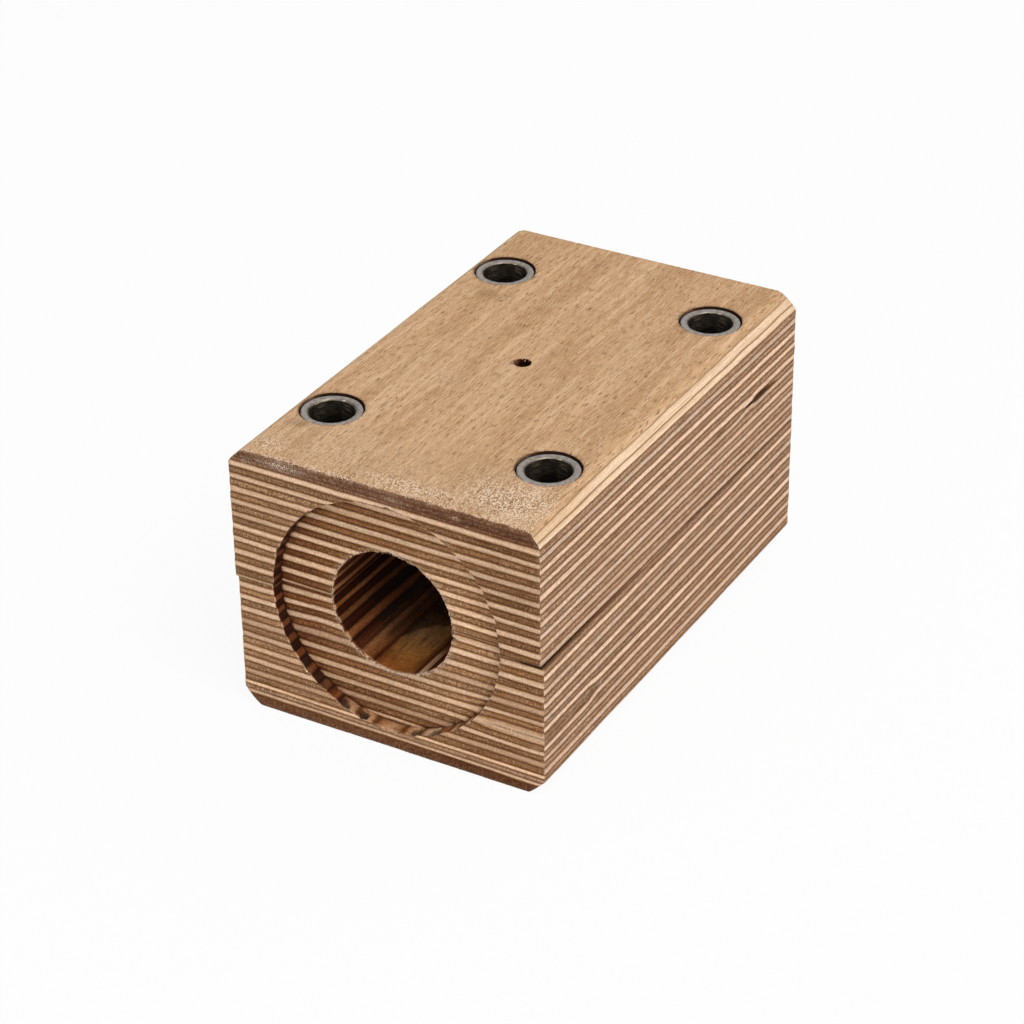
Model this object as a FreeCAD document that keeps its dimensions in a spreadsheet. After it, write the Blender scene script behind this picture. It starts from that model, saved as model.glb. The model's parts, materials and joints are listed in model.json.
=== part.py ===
"""Split plywood bearing block for a 30 mm shaft: two glued halves and four steel spacer sleeves.

Frame: +Z up, the shaft runs along Y and the recessed end faces -Y. The origin lies on the base,
straight under the shaft axis and halfway along the block. Millimetres.
"""
import os

import FreeCAD
import Part
import Sketcher

SIZES = {
    "block_width": 78.0,
    "block_length": 124.0,
    "upper_height": 33.5,
    "lower_height": 33.5,
    "edge_chamfer": 3.7,
    "lower_side_step": 0.8,
    "shaft_diameter": 30.0,
    "shaft_clearance": 0.3,
    "recess_diameter": 57.5,
    "recess_depth": 3.2,
    "bolt_side_margin": 11.5,
    "bolt_front_margin": 24.65,
    "bolt_rear_margin": 21.85,
    "sleeve_inner_diameter": 10.5,
    "sleeve_wall": 1.75,
    "sleeve_bevel": 0.6,
    "sleeve_inset": 0.5,
    "sleeve_clearance": 0.8,
    "oil_hole_diameter": 4.0,
    "oil_hole_offset_across": -0.8,
}

# Lengths and places that several pieces share, as expressions on the sheet.
PARTING_LEVEL = "sizes.lower_height"
TOP_LEVEL = "(sizes.lower_height + sizes.upper_height)"
FRONT_END = "sizes.block_length / 2"
BORE_RADIUS = "(sizes.shaft_diameter + sizes.shaft_clearance) / 2"
RECESS_RADIUS = "sizes.recess_diameter / 2"
SLEEVE_INNER_RADIUS = "sizes.sleeve_inner_diameter / 2"
SLEEVE_OUTER_RADIUS = "(sizes.sleeve_inner_diameter / 2 + sizes.sleeve_wall)"
SLEEVE_LENGTH = f"({TOP_LEVEL} - 2 * sizes.sleeve_inset)"
SEAT_RADIUS = f"({SLEEVE_OUTER_RADIUS} + sizes.sleeve_clearance / 2)"
BOLT_RIGHT = "(sizes.block_width / 2 - sizes.bolt_side_margin)"
BOLT_LEFT = f"-{BOLT_RIGHT}"
BOLT_FRONT = "(sizes.bolt_front_margin - sizes.block_length / 2)"
BOLT_REAR = "(sizes.block_length / 2 - sizes.bolt_rear_margin)"

# Each sleeve's axis, across and along the shaft; the front is the recessed end.
SLEEVE_AXES = {
    "front_left": (BOLT_LEFT, BOLT_FRONT),
    "front_right": (BOLT_RIGHT, BOLT_FRONT),
    "rear_left": (BOLT_LEFT, BOLT_REAR),
    "rear_right": (BOLT_RIGHT, BOLT_REAR),
}

# Numbers that sketch constraints give to a line's ends and a circle's centre.
LINE_START, LINE_END, CIRCLE_CENTRE = range(1, 4)

FULL_TURN = 360.0
THROUGH_ALL = "ThroughAll"

doc = FreeCAD.newDocument("bearing_block")


def make_sheet():
    """The driving dimensions, one named cell each."""
    sheet = doc.addObject("Spreadsheet::Sheet", "sizes")
    for row, (name, value) in enumerate(SIZES.items(), start=1):
        sheet.set(f"A{row}", name)
        sheet.set(f"B{row}", str(value))
        sheet.setAlias(f"B{row}", name)
    doc.recompute()
    return sheet


def make_sketch(body, name, role, offset="0"):
    """A sketch on one of the body's origin planes, moved along the plane's normal by an expression."""
    plane = next(item for item in body.Origin.OriginFeatures if item.Role == role)
    sketch = body.newObject("Sketcher::SketchObject", name)
    sketch.AttachmentSupport = [(plane, "")]
    sketch.MapMode = "FlatFace"
    sketch.setExpression("AttachmentOffset.Base.z", offset)
    return sketch


def tie_point(sketch, geometry, point, place):
    """Holds a point at a place from the sketch's origin, geometry -1, that two expressions give."""
    for kind, expression in zip(("DistanceX", "DistanceY"), place):
        start = float(sheet.evalExpression(expression))
        index = sketch.addConstraint(
            Sketcher.Constraint(kind, -1, LINE_START, geometry, point, start))
        sketch.setExpression(f"Constraints[{index}]", expression)


def draw_outline(sketch, corners):
    """A closed outline of straight lines through corners given as pairs of expressions."""
    points = [FreeCAD.Vector(*(float(sheet.evalExpression(value)) for value in corner), 0)
              for corner in corners]
    for first, second in zip(points, points[1:] + points[:1]):
        sketch.addGeometry(Part.LineSegment(first, second))
    for index, corner in enumerate(corners):
        before = (index - 1) % len(corners)
        sketch.addConstraint(
            Sketcher.Constraint("Coincident", before, LINE_END, index, LINE_START))
        tie_point(sketch, index, LINE_START, corner)


def draw_circle(sketch, centre, radius):
    """A circle whose centre and radius are expressions."""
    start = FreeCAD.Vector(*(float(sheet.evalExpression(value)) for value in centre), 0)
    start_radius = float(sheet.evalExpression(radius))
    upright = FreeCAD.Vector(0, 0, 1)
    geometry = sketch.addGeometry(Part.Circle(start, upright, start_radius))
    tie_point(sketch, geometry, CIRCLE_CENTRE, centre)
    index = sketch.addConstraint(Sketcher.Constraint("Radius", geometry, start_radius))
    sketch.setExpression(f"Constraints[{index}]", radius)


def cut(body, name, sketch, depth=THROUGH_ALL):
    """A pocket from the sketch into the body; one that takes nothing away is an error."""
    doc.recompute()
    volume_before = body.Shape.Volume
    pocket = body.newObject("PartDesign::Pocket", name)
    pocket.Profile = sketch
    if depth == THROUGH_ALL:
        pocket.Type = THROUGH_ALL
    else:
        pocket.Type = "Length"
        pocket.setExpression("Length", depth)
    doc.recompute()
    if body.Shape.Volume >= volume_before:
        raise RuntimeError(f"{name} cuts nothing")


def make_half(label, section, top_of_half):
    """One half of the block: its chamfered section along the shaft, bored, recessed and drilled."""
    body = doc.addObject("PartDesign::Body", label)
    body.Label = label
    outline = make_sketch(body, f"{label}_section", "XZ_Plane", FRONT_END)
    draw_outline(outline, section)
    blank = body.newObject("PartDesign::Pad", f"{label}_blank")
    blank.Profile = outline
    blank.setExpression("Length", "sizes.block_length")
    blank.Reversed = True

    shaft_axis = ("0", PARTING_LEVEL)
    bore = make_sketch(body, f"{label}_bore_circle", "XZ_Plane", FRONT_END)
    draw_circle(bore, shaft_axis, BORE_RADIUS)
    cut(body, f"{label}_bore", bore)
    recess = make_sketch(body, f"{label}_recess_circle", "XZ_Plane", FRONT_END)
    draw_circle(recess, shaft_axis, RECESS_RADIUS)
    cut(body, f"{label}_recess", recess, "sizes.recess_depth")

    seats = make_sketch(body, f"{label}_seat_circles", "XY_Plane", top_of_half)
    for axis in SLEEVE_AXES.values():
        draw_circle(seats, axis, SEAT_RADIUS)
    cut(body, f"{label}_seats", seats)
    return body


def make_upper_half():
    """The half with the oil hole; its two upper long edges are chamfered."""
    left, right = "-sizes.block_width / 2", "sizes.block_width / 2"
    section = [
        (left, PARTING_LEVEL),
        (right, PARTING_LEVEL),
        (right, f"{TOP_LEVEL} - sizes.edge_chamfer"),
        (f"{right} - sizes.edge_chamfer", TOP_LEVEL),
        (f"{left} + sizes.edge_chamfer", TOP_LEVEL),
        (left, f"{TOP_LEVEL} - sizes.edge_chamfer"),
    ]
    body = make_half("upper_half", section, TOP_LEVEL)
    oil_hole = make_sketch(body, "oil_hole_circle", "XY_Plane", TOP_LEVEL)
    centre = ("sizes.oil_hole_offset_across", f"({BOLT_FRONT} + {BOLT_REAR}) / 2")
    draw_circle(oil_hole, centre, "sizes.oil_hole_diameter / 2")
    cut(body, "oil_hole", oil_hole, "sizes.upper_height")
    return body


def make_lower_half():
    """The half that rests on the base; its blank stands a little to the right of the upper one."""
    left = "-sizes.block_width / 2 + sizes.lower_side_step"
    right = "sizes.block_width / 2 + sizes.lower_side_step"
    section = [
        (f"{left} + sizes.edge_chamfer", "0"),
        (f"{right} - sizes.edge_chamfer", "0"),
        (right, "sizes.edge_chamfer"),
        (right, PARTING_LEVEL),
        (left, PARTING_LEVEL),
        (left, "sizes.edge_chamfer"),
    ]
    return make_half("lower_half", section, PARTING_LEVEL)


def make_sleeve(label, axis):
    """A turned steel tube that keeps the bolt from crushing both halves, bevelled inside its ends."""
    body = doc.addObject("PartDesign::Body", label)
    body.Label = label
    bevelled_radius = f"{SLEEVE_INNER_RADIUS} + sizes.sleeve_bevel"
    profile = make_sketch(body, f"{label}_profile", "XZ_Plane")
    draw_outline(profile, [
        (bevelled_radius, "0"),
        (SLEEVE_OUTER_RADIUS, "0"),
        (SLEEVE_OUTER_RADIUS, SLEEVE_LENGTH),
        (bevelled_radius, SLEEVE_LENGTH),
        (SLEEVE_INNER_RADIUS, f"{SLEEVE_LENGTH} - sizes.sleeve_bevel"),
        (SLEEVE_INNER_RADIUS, "sizes.sleeve_bevel"),
    ])
    tube = body.newObject("PartDesign::Revolution", f"{label}_tube")
    tube.Profile = profile
    tube.ReferenceAxis = (profile, ["V_Axis"])
    tube.Angle = FULL_TURN
    across, along = axis
    body.setExpression("Placement.Base.x", across)
    body.setExpression("Placement.Base.y", along)
    body.setExpression("Placement.Base.z", "sizes.sleeve_inset")
    return body


def check_document():
    """Stops the build where any object failed or any piece isn't one valid solid."""
    for item in doc.Objects:
        if "Invalid" in item.State or "Error" in item.State:
            raise RuntimeError(f"{item.Name} failed: {item.State}")
    for piece in pieces:
        shape = piece.Shape
        if shape.isNull() or not shape.isValid() or len(shape.Solids) != 1:
            raise RuntimeError(f"{piece.Label} is not one valid solid")


sheet = make_sheet()
pieces = [make_upper_half(), make_lower_half()]
pieces += [make_sleeve(f"sleeve_{corner}", axis) for corner, axis in SLEEVE_AXES.items()]
doc.recompute()
check_document()

os.makedirs("parts", exist_ok=True)
for piece in pieces:
    piece.Shape.exportStep(f"parts/{piece.Label}.step")
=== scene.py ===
"""Looks of the split plywood bearing block: two worn halves, torn fibres, steel sleeves and a studio.

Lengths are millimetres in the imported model's frame, and meshes are made in metres. Each half is
worked out in x, y and depth, where depth runs from the half's outer face to the parting plane.
"""
import json
import math
from itertools import product

import bmesh
import bpy
import numpy as np
from mathutils import Matrix, Vector
from mathutils.geometry import delaunay_2d_cdt


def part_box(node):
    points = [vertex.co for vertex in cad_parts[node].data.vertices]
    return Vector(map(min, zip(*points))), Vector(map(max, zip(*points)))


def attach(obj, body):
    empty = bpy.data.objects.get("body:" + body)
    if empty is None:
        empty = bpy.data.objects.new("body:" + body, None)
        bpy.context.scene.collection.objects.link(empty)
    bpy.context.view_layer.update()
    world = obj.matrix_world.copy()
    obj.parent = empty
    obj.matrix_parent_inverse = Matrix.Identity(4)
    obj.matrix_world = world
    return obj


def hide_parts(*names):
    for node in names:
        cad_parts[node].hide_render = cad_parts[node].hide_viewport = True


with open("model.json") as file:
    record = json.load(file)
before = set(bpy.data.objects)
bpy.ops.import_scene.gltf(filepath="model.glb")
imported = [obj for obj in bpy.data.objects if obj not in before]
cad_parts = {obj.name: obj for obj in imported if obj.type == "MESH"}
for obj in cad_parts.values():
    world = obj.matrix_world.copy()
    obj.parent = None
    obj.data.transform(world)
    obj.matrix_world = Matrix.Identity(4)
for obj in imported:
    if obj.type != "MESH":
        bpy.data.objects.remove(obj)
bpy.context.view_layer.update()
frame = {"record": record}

MM = 0.001


def node_box(name):
    """Lowest and highest corner of a CAD node."""
    low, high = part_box(name)
    return np.array(low) / MM, np.array(high) / MM


def mount(name):
    """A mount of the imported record, by name."""
    return next(item for item in frame["record"]["mounts"] if item["name"] == name)


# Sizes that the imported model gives.
UPPER_LOW, UPPER_HIGH = node_box("upper_half")
PARTING_LEVEL = UPPER_LOW[2]
FRONT, REAR = UPPER_LOW[1], UPPER_HIGH[1]
BORE_RADIUS = mount("shaft_bore")["dims"]["r_mm"]
RECESS_RADIUS = mount("end_recess")["dims"]["r_mm"]
FLOOR_LEVEL = FRONT + mount("end_recess")["dims"]["length_mm"]
OIL_HOLE_RADIUS = mount("oil_hole")["dims"]["r_mm"]
OIL_HOLE_X, OIL_HOLE_Y = np.array(mount("oil_hole")["pos_m"][:2]) / MM
SLEEVE_NAMES = [f"sleeve_{end}_{side}" for end in ("front", "rear") for side in ("left", "right")]
SLEEVE_BOXES = {name: node_box(name) for name in SLEEVE_NAMES}
SLEEVE_AXES = {name: np.mean(box, axis=0)[:2] for name, box in SLEEVE_BOXES.items()}
SLEEVE_RADIUS = np.ptp(SLEEVE_BOXES["sleeve_front_left"], axis=0)[0] / 2
SLEEVE_INNER_RADIUS = mount("bolt_holes")["dims"]["hole_r_mm"]
SEATS = list(SLEEVE_AXES.values())

# Sizes that the record doesn't hold; one sleeve's bevel is more worn than the others'.
CHAMFER = 3.7
SEAT_GAP = 0.4
SEAT_RADIUS = SLEEVE_RADIUS + SEAT_GAP
SLEEVE_BEVEL = 0.26
WORN_BEVELS = {"sleeve_front_left": 0.4}

# Rim of the outer face that is left round a seat beside a chamfer.
SEAT_EDGE = 0.2

# Mesh: spacing on each kind of surface, rows across a chamfer, how clear of the parting strips' edges
# loose points stay, and how far they are shifted, as a share of the spacing.
CUT_STEP = 0.6
LONG_STEP = 0.8
OUTER_STEP = 0.85
BASE_STEP = 1.6
HIDDEN_STEP = 2.6
GAP_STEP = 1.1
LEDGE_STEP = 0.4
RIM_STEP = 0.45
MOUTH_STEP = 0.55
BORE_STEP = 0.95
FINE_STEP = 0.28
ROW_STEP = 0.34
VOID_ROW_STEP = 0.17
CHAMFER_ROWS = 7
PARTING_CLEAR = 0.3
LOOSE_SHIFT = 0.22

# Widths of the places where the mesh is finer: bore, top's edges, and ledge beside the parting.
BORE_MOUTH = 8.0
BORE_SHOWN = 22.0
FRONT_STRIP = 1.6
RIGHT_STRIP = 2.0
LEDGE = 1.6

# Depth and reach of the wear on the end faces' edges, and of that on the chamfers' long edges.
EDGE_WEAR = 0.12
EDGE_REACH = 0.25
SLANT_WEAR = 0.12
SLANT_REACH = 0.6

# How much narrower the upper right chamfer is at its front end, and where that has faded out.
SLANT_FILL = 1.2
SLANT_FILL_END = -36.0

# Share of the top's unevenness that the base has.
BASE_ROUGHNESS = 0.2

# Distance within which points are welded, and twice the area under which a triangle is dropped.
WELD = 0.001
SLIVER = 0.0001

# Length of the noise's table of values, and what spreads places over it.
NOISE_TABLE = 8192
NOISE_PRIMES = (73856093, 19349663, 83492791)


def noise(points, cell, seed):
    """Smooth noise from -1 to 1 whose lumps are about cell in size along x, y and z."""
    table = np.random.default_rng(seed).uniform(-1.0, 1.0, NOISE_TABLE)
    place = np.asarray(points, float) / np.asarray(cell, float)
    base = np.floor(place).astype(np.int64)
    part = place - base
    part = part * part * (3.0 - 2.0 * part)
    total = np.zeros(len(place))
    for corner in product((0, 1), repeat=3):
        weight = np.prod(np.where(corner, part, 1.0 - part), axis=1)
        key = np.bitwise_xor.reduce((base + corner) * NOISE_PRIMES, axis=1) % NOISE_TABLE
        total += weight * table[key]
    return total


def rise(value, start, end):
    """Smooth step from 0 at start to 1 at end."""
    part = np.clip((np.asarray(value, float) - start) / (end - start), 0.0, 1.0)
    return part * part * (3.0 - 2.0 * part)


def bump(value, centre, reach):
    """Bell of height 1 at centre."""
    return np.exp(-((np.asarray(value, float) - centre) / reach) ** 2)


def fade(distance, reach):
    """1 at no distance, and less and less beyond."""
    return np.exp(-distance / reach)


def span(start, end, step):
    """Even samples from start to end, about step apart."""
    return np.linspace(start, end, max(2, round(abs(end - start) / step) + 1))


def columns(*parts):
    """Arrays and single numbers side by side, as columns of one array."""
    return np.column_stack(np.broadcast_arrays(*parts))


def spots(first, second, places):
    """Soft spots, each given by its two coordinates, its reach along both and its strength."""
    total = np.zeros(len(first))
    for centre_1, centre_2, reach_1, reach_2, strength in places:
        spot = bump(first, centre_1, reach_1) * bump(second, centre_2, reach_2)
        total = np.maximum(total, strength * spot)
    return total


# Glue lines under the face plies, from the outer face inward, pitch of the rest and number of plies.
UPPER_FACE_GLUE, UPPER_PITCH, UPPER_PLIES = (1.5, 2.83, 3.75), 1.62, 22
LOWER_FACE_GLUE, LOWER_PITCH, LOWER_PLIES = (2.75, 3.7, 5.0, 6.1), 1.675, 21

# Slopes of the plies across the block, and their rise at the upper right chamfer; the lower half's slopes
# fade out towards one level.
UPPER_SLOPE = 0.0101
CHAMFER_PLY_RISE = 0.5
LOWER_SLOPE_AT_BASE = 0.009
LOWER_SLOPE_AT_TOP = -0.0114
LOWER_FLAT_LEVEL = 22.5

# Void in a cross ply of the right face: where the plies beside it pinch, and how deep it goes.
VOID_PLY = 11
VOID_PINCH_Y = 38.0
VOID_INSET = 2.4
VOID_LEVEL = UPPER_FACE_GLUE[-1] + (VOID_PLY - len(UPPER_FACE_GLUE) + 0.5) * UPPER_PITCH

# Cross ply of the lower half that two sheets form near the front, where one laps over the other.
LAP_PLY = 9
LAP_END_Y = -37.0
LAP_START_X = 15.0
LAP_LEVEL = LOWER_FACE_GLUE[-1] + (LAP_PLY - len(LOWER_FACE_GLUE) + 0.5) * LOWER_PITCH

# Wedge that is open between the halves at the right front corner, and the groove along their parting.
GAP_LENGTH = 34.0
GAP_WIDTH = 8.0
GAP_HEIGHT = {"upper_half": 0.06, "lower_half": 0.15}
PARTING_GROOVE = 0.04

# How far the right side is out of square at the rear.
REAR_SKEW = {"upper_half": 0.5, "lower_half": -0.3}

# Chip torn out on the left of the oil hole.
TEAR_X = OIL_HOLE_X - 1.9
TEAR_Y = OIL_HOLE_Y - 0.35
TEAR_DEPTH = 1.5

# Pits on the recess wall, as angles about the shaft from the right, with their strength.
WALL_PITS = {-114.0: 0.9, -104.0: 1.0, -77.0: 0.9, -66.5: 0.8, -128.0: 0.6, 160.0: 0.3, 205.0: 0.4}

# What the plies' numbers in the lower half are raised by on the mesh.
LOWER_PLY_OFFSET = 40

# Bottom of the bore: the ply of the lower half that forms it, and how far in it is polished.
BORE_LOWEST_PLY = 11
POLISH_END = 20.5

# Levels of marks in the bore: a dark seam and a pale band on its left, and blots.
SEAM_LEVEL = 20.1
PALE_BAND_LEVEL = 21.4
BLOT_LEVEL = 23.6

# Notches in the bore's rim: side of the bore and level.
RIM_NOTCHES = {"upper_half": (-1.0, 35.2), "lower_half": (1.0, 31.75)}

# Torn spots: x and z on the front, y and z on the right side, x and y on the top.
FRONT_FUZZ = (
    (-25.0, 65.2, 5.5, 0.9, 0.95), (18.65, 64.85, 1.0, 0.5, 0.95), (-34.0, 64.0, 1.5, 0.8, 0.5),
    (16.5, 57.5, 1.2, 1.6, 0.5), (37.6, 11.9, 1.4, 0.9, 0.45), (3.0, 64.9, 2.5, 0.6, 0.4))
RIGHT_FUZZ = ((-36.4, 15.1, 0.7, 0.8, 0.8), (-17.8, 32.2, 1.2, 0.5, 0.7), (13.4, 32.9, 0.9, 0.4, 0.6))
TOP_FUZZ = (
    (27.0, -53.5, 13.0, 9.0, 0.95), (-31.0, -57.0, 5.0, 4.0, 0.7), (8.0, -58.5, 16.0, 3.5, 0.8),
    (-12.0, -54.0, 26.0, 10.0, 0.26), (-12.5, -12.6, 3.0, 4.0, 0.4))

# Dirty spots, given in the same way.
FRONT_GRIME = ((31.0, 50.0, 13.0, 12.0, 0.13),)
RIGHT_GRIME = ((51.5, 22.6, 0.7, 0.4, 0.8), (-41.0, 15.1, 3.8, 0.7, 0.45), (26.6, 33.0, 1.2, 0.35, 0.6))
TOP_GRIME = (
    (-30.5, -46.2, 3.0, 1.4, 0.4), (-24.2, 27.8, 4.0, 2.0, 0.25), (-9.2, 53.0, 0.6, 1.2, 0.5),
    (-18.5, -31.0, 0.6, 1.2, 0.5))

# Brightening of the front, and where along x it starts and is full.
FRONT_BRIGHTENING = {"upper_half": 0.06, "lower_half": 0.45}
FRONT_BRIGHTENING_REACH = {"upper_half": (5.0, -25.0), "lower_half": (-60.0, -45.0)}


def fault(off, core, shift, reach):
    """How far plies are moved beside a fault in one of them; off is the distance from its middle."""
    away = np.abs(off)
    return np.sign(off) * shift * rise(away, 0.0, core) * rise(away, reach, core)


def upper_level(points):
    """Depth in the upper half as if its plies were level and didn't close on the void."""
    x, y, depth = points.T
    edge = UPPER_HIGH[0]
    level = depth - UPPER_SLOPE * x
    level += CHAMFER_PLY_RISE * rise(x, edge - 6.0, edge - 2.0) * rise(depth, 5.0, 2.0)
    closing = rise(x, edge - 6.0, edge - 1.0) * rise(y, VOID_PINCH_Y - 8.0, VOID_PINCH_Y - 1.0)
    closing *= rise(y, VOID_PINCH_Y + 3.5, VOID_PINCH_Y + 0.5)
    return level + closing * fault(level - VOID_LEVEL, 0.22, 0.6, 4.5)


def lower_level(points):
    """Depth in the lower half as if its plies were level, without the lap and the swelling by the bore."""
    x, y, depth = points.T
    level = depth + LOWER_SLOPE_AT_BASE * x * rise(depth, LOWER_FLAT_LEVEL, 0.0)
    level += LOWER_SLOPE_AT_TOP * x * rise(depth, LOWER_FLAT_LEVEL, PARTING_LEVEL)
    level -= 0.6 * bump(x, -18.0, 7.0) * bump(depth, 25.5, 4.0) * rise(y, -30.0, -45.0)
    lap = rise(y, LAP_END_Y, LAP_END_Y - 6.0) * rise(x, LAP_START_X, LAP_START_X + 14.0)
    return level - lap * fault(level - LAP_LEVEL, 1.65, 0.8, 6.0)


class Half:
    """One half of the block: its box, its plies and how deep each of them lies."""

    def __init__(self, node, inward, face_glue, pitch, plies, level, seed):
        self.node = node
        low, high = node_box(node)
        self.left, self.right = low[0], high[0]
        self.inward = inward
        self.is_upper = inward < 0
        self.outer = high[2] if self.is_upper else low[2]
        self.depth = high[2] - low[2]
        self.plies = plies
        self.level = level
        self.seed = seed
        random = np.random.default_rng(seed)
        faces = len(face_glue)
        rest = face_glue[-1] + pitch * np.arange(plies + 1 - faces)
        self.glue = np.concatenate([[0.0], face_glue[:-1], rest])
        self.glue[faces:-1] += random.uniform(-0.1, 0.1, plies - faces)
        self.glue[-1] = max(self.glue[-1], self.depth + 0.2)
        self.steps = random.uniform(-0.04, 0.03, plies)

    def noise(self, points, cell, draw):
        """Noise of this half's own; each draw gives another."""
        return noise(points, cell, self.seed + draw)

    def ply_at(self, points):
        """Ply number at points, counted from the outer face, with the share of that ply passed."""
        level = self.level(points) + 0.17 * self.noise(points, (45, 45, 8), 1)
        level += 0.09 * self.noise(points, (9, 9, 3), 2) + 0.04 * self.noise(points, (2.5, 2.5, 1.2), 3)
        return np.clip(np.interp(level, self.glue, np.arange(self.plies + 1)), 0.0, self.plies - 0.001)

    def height(self, points):
        """Level above the base."""
        return self.outer + self.inward * points[:, 2]


UPPER = Half("upper_half", -1, UPPER_FACE_GLUE, UPPER_PITCH, UPPER_PLIES, upper_level, 11)
LOWER = Half("lower_half", 1, LOWER_FACE_GLUE, LOWER_PITCH, LOWER_PLIES, lower_level, 29)

# Marks on the points: oil, torn fibres, grime that also carries painted shade, and a brightening that is
# painted light on the recess floor.
MARKS = ("oil", "fresh", "grime", "bare")


class Shell:
    """A closed surface gathered from patches, in which the points that patches share are welded."""

    def __init__(self):
        self.patches = []

    def add(self, points, faces, push, **marks):
        """Takes points, triangles, how far each point is pushed, and values that mark each point."""
        self.patches.append((points, faces, push, marks))

    def weld(self):
        """Points at rest, points as pushed, triangles and marks of the whole surface."""
        keys = np.round(np.vstack([patch[0] for patch in self.patches]) / WELD).astype(np.int64)
        _, first, index = np.unique(keys, axis=0, return_index=True, return_inverse=True)
        rest = keys[first] * WELD
        pushed = rest.copy()
        marks = {name: np.zeros(len(rest)) for name in MARKS}
        triangles = []
        start = 0
        for points, faces, push, patch_marks in self.patches:
            own = index.ravel()[start:start + len(points)]
            start += len(points)
            triangles.append(own[faces])
            shared, where = np.unique(own, return_index=True)
            pushed[shared] += push[where]
            for name, value in patch_marks.items():
                marks[name][shared] = np.maximum(marks[name][shared], value[where])
        return rest, pushed, np.vstack(triangles), marks


def grid(x, y, z, wrap=(0, 0)):
    """Points on rows and columns, and triangles between neighbours; wrap is 1 for what closes on itself."""
    points = np.stack(np.broadcast_arrays(x, y, z), axis=-1)
    shape = points.shape[:2]
    number = np.arange(math.prod(shape)).reshape(shape)
    number = np.pad(number, [(0, extra) for extra in wrap], mode="wrap")
    a, b = number[:-1, :-1].ravel(), number[1:, :-1].ravel()
    c, d = number[1:, 1:].ravel(), number[:-1, 1:].ravel()
    return points.reshape(-1, 3), np.vstack([columns(a, b, c), columns(a, c, d)])


def inside(points, loops):
    """Which points lie within the loops, where a loop within another is a hole."""
    x, y = points.T
    found = np.zeros(len(points), bool)
    for loop in loops:
        for (x0, y0), (x1, y1) in zip(loop, np.roll(loop, -1, axis=0)):
            if y0 != y1:
                found ^= ((y0 > y) != (y1 > y)) & (x < x0 + (y - y0) * (x1 - x0) / (y1 - y0))
    return found


def fill(loops, loose, clear):
    """Flat points and triangles over loops, using the loose points that stand clear of every edge."""
    loose = loose[inside(loose, loops)]
    border = np.vstack(loops)
    near = np.array([np.min((border[:, 0] - x) ** 2 + (border[:, 1] - y) ** 2) for x, y in loose])
    given = np.vstack([border, loose[near > clear ** 2]])
    edges, start = [], 0
    for loop in loops:
        count = len(loop)
        edges += [(start + i, start + (i + 1) % count) for i in range(count)]
        start += count
    _, _, faces, sources, *_ = delaunay_2d_cdt([Vector(point) for point in given], edges, [], 0, WELD / 100)
    flat, faces = given[[source[0] for source in sources]], np.array(faces)
    first, second = flat[faces[:, 1]] - flat[faces[:, 0]], flat[faces[:, 2]] - flat[faces[:, 0]]
    area = np.abs(first[:, 0] * second[:, 1] - first[:, 1] * second[:, 0])
    faces = faces[area > SLIVER]
    return flat, faces[inside(flat[faces].mean(axis=1), loops)]


def scatter_rows(x_range, rows, step, random):
    """Loose points on rows, shifted along them at random."""
    points = np.stack(np.meshgrid(span(*x_range, step), rows), axis=-1).reshape(-1, 2)
    points[:, 0] += random.uniform(-LOOSE_SHIFT, LOOSE_SHIFT, len(points)) * step
    return points


def scatter(x_range, y_range, step, seed):
    """Loose points in a rectangle, shifted at random."""
    random = np.random.default_rng(seed)
    points = scatter_rows(x_range, span(*y_range, step), step, random)
    points[:, 1] += random.uniform(-LOOSE_SHIFT, LOOSE_SHIFT, len(points)) * step
    return points


def ring(centre, radius, step):
    """Points round a circle, without a repeated end."""
    count = 4 * round(2 * math.pi * radius / step / 4)
    turn = np.arange(count) * 2 * math.pi / count
    return columns(centre[0] + radius * np.cos(turn), centre[1] + radius * np.sin(turn))


def join(*lines):
    """One loop from lines that each start where the one before ends."""
    return np.vstack([line[:-1] for line in lines])


def chamfer_x(edge, outward, depth):
    """Where a chamfer that ends at a side's edge lies at a depth."""
    return edge - outward * (CHAMFER - depth)


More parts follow.
